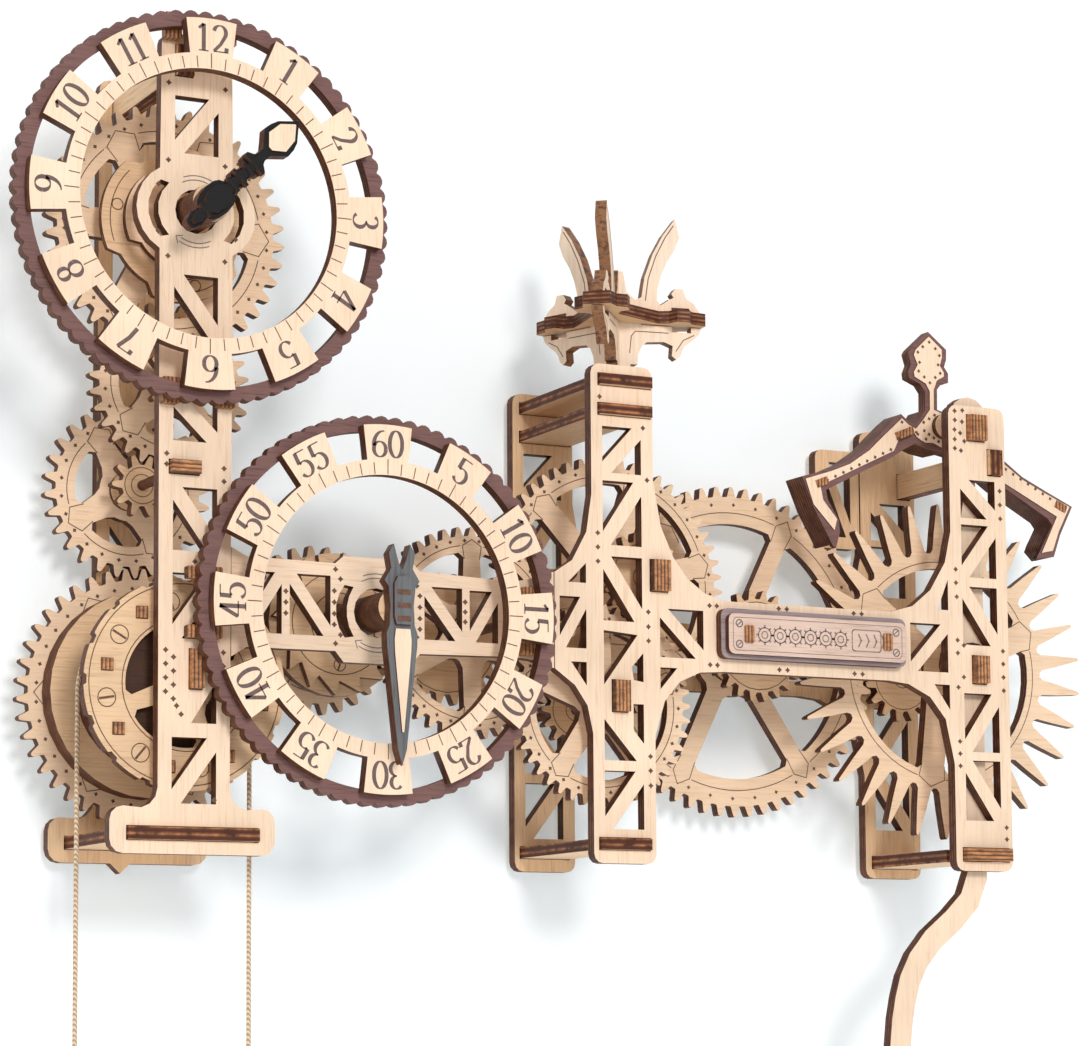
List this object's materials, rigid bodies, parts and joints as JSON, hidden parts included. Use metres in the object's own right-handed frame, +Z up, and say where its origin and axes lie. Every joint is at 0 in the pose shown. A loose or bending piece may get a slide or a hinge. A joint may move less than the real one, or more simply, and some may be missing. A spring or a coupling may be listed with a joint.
{
  "type": "wall-hung mechanical clock construction kit",
  "caption": "Plywood wall clock on three truss towers with hour and minute dials, open gear train, weight drum, anchor escapement and pendulum.",
  "frame": {"origin": "the point on the wall side of the main back frame, on the axis of the centre tower at the height of the cross bar", "axes": "+Z up, +Y into the wall, the dials look towards -Y, +X towards the pendulum tower"},
  "size_m": [0.3869, 0.0765, 0.4288],
  "materials": {
    "birch_ply": "sanded birch plywood with laser-burnt edges",
    "wheel_ply": "sanded birch plywood, slightly darker",
    "mauve_ply": "plywood with a matt brown-mauve face",
    "dark_ply": "plywood with a black to grey face",
    "cord": "twisted thin cord"
  },
  "bodies": {
    "frame": {"left_front_frame": "birch_ply", "left_back_frame": "birch_ply", "main_front_frame": "birch_ply", "main_back_frame": "birch_ply", "rear_side_plate": "birch_ply", "arm_front_plate": "birch_ply", "arm_back_plate": "birch_ply", "left_top_beam": "wheel_ply", "left_base_shelf": "wheel_ply", "centre_top_beam_upper": "wheel_ply", "centre_top_beam_lower": "wheel_ply", "centre_base_beam": "wheel_ply", "right_upper_beam": "wheel_ply", "right_base_beam": "wheel_ply", "idler_key": "wheel_ply", "drum_key": "wheel_ply", "second_key": "wheel_ply", "upper_key": "wheel_ply", "lower_key": "wheel_ply", "escape_key": "wheel_ply", "anchor_key": "wheel_ply", "right_base_key": "wheel_ply", "nameplate_backing": "mauve_ply", "nameplate_panel": "birch_ply", "hour_dial_face": "birch_ply", "hour_dial_rim": "mauve_ply", "minute_dial_face": "birch_ply", "minute_dial_rim": "mauve_ply", "ornament_vanes": "wheel_ply", "ornament_rosette": "wheel_ply", "left_cord": "cord", "right_cord": "cord", "left_cord_ring": "wheel_ply", "right_cord_ring": "wheel_ply"},
    "great": {"great_wheel": "wheel_ply", "great_arbor": "wheel_ply"},
    "upper": {"upper_wheel": "wheel_ply", "upper_arbor": "wheel_ply"},
    "lower": {"lower_wheel": "wheel_ply", "lower_arbor": "wheel_ply"},
    "second": {"second_wheel": "wheel_ply", "second_arbor": "wheel_ply"},
    "minute_train": {"minute_wheel": "wheel_ply", "minute_arbor": "wheel_ply"},
    "drum": {"drum_wheel": "wheel_ply", "drum_core": "wheel_ply", "drum_front_disc": "wheel_ply"},
    "idler": {"idler_wheel": "wheel_ply", "idler_arbor": "wheel_ply"},
    "reduction": {"reduction_wheel": "wheel_ply", "reduction_arbor": "wheel_ply"},
    "hour_train": {"hour_wheel": "wheel_ply", "hour_arbor": "wheel_ply"},
    "escape": {"escape_wheel": "wheel_ply", "escape_arbor": "wheel_ply"},
    "pendulum": {"anchor": "birch_ply", "pendulum_rod": "birch_ply", "pendulum_bob": "mauve_ply"},
    "minute_pointer": {"minute_hand": "dark_ply"},
    "hour_pointer": {"hour_hand": "dark_ply"}
  },
  "joints": [
    {"name": "great_spin", "type": "hinge", "parent": "frame", "child": "great", "pos_m": [0.0665, 0, -0.003], "axis": [0, 1, 0], "continuous": true},
    {"name": "upper_spin", "type": "hinge", "parent": "frame", "child": "upper", "pos_m": [0.0118, 0, 0.0135], "axis": [0, 1, 0], "continuous": true},
    {"name": "lower_spin", "type": "hinge", "parent": "frame", "child": "lower", "pos_m": [-0.003, 0, -0.0272], "axis": [0, 1, 0], "continuous": true},
    {"name": "second_spin", "type": "hinge", "parent": "frame", "child": "second", "pos_m": [-0.03887, 0, -0.0045], "axis": [0, 1, 0], "continuous": true},
    {"name": "minute_spin", "type": "hinge", "parent": "frame", "child": "minute_train", "pos_m": [-0.08312, 0, -0.0039], "axis": [0, 1, 0], "continuous": true},
    {"name": "drum_spin", "type": "hinge", "parent": "frame", "child": "drum", "pos_m": [-0.1406, 0, -0.027], "axis": [0, 1, 0], "continuous": true},
    {"name": "idler_spin", "type": "hinge", "parent": "frame", "child": "idler", "pos_m": [-0.145, 0, 0.03479], "axis": [0, 1, 0], "continuous": true},
    {"name": "reduction_spin", "type": "hinge", "parent": "frame", "child": "reduction", "pos_m": [-0.1362, 0, 0.0658], "axis": [0, 1, 0], "continuous": true},
    {"name": "hour_spin", "type": "hinge", "parent": "frame", "child": "hour_train", "pos_m": [-0.1406, 0, 0.111], "axis": [0, 1, 0], "continuous": true},
    {"name": "escape_spin", "type": "hinge", "parent": "frame", "child": "escape", "pos_m": [0.1328, 0, -0.009], "axis": [0, 1, 0], "continuous": true},
    {"name": "pendulum_swing", "type": "hinge", "parent": "frame", "child": "pendulum", "pos_m": [0.1328, 0, 0.0726], "axis": [0, 1, 0], "range_deg": [-2.5, 2.5]},
    {"name": "minute_hand_turn", "type": "hinge", "parent": "minute_train", "child": "minute_pointer", "pos_m": [-0.08312, 0, -0.0039], "axis": [0, 1, 0], "continuous": true},
    {"name": "hour_hand_turn", "type": "hinge", "parent": "hour_train", "child": "hour_pointer", "pos_m": [-0.1406, 0, 0.111], "axis": [0, 1, 0], "continuous": true}
  ],
  "couplings": [
    {"joint": "escape_spin", "follows": "great_spin", "ratio": -4},
    {"joint": "upper_spin", "follows": "great_spin", "ratio": -0.42308},
    {"joint": "lower_spin", "follows": "great_spin", "ratio": 0.18132},
    {"joint": "second_spin", "follows": "great_spin", "ratio": -0.06044},
    {"joint": "minute_spin", "follows": "great_spin", "ratio": 0.047488},
    {"joint": "drum_spin", "follows": "great_spin", "ratio": -0.031659},
    {"joint": "idler_spin", "follows": "great_spin", "ratio": 0.047488},
    {"joint": "reduction_spin", "follows": "great_spin", "ratio": -0.015829},
    {"joint": "hour_spin", "follows": "great_spin", "ratio": 0.0039574}
  ]
}
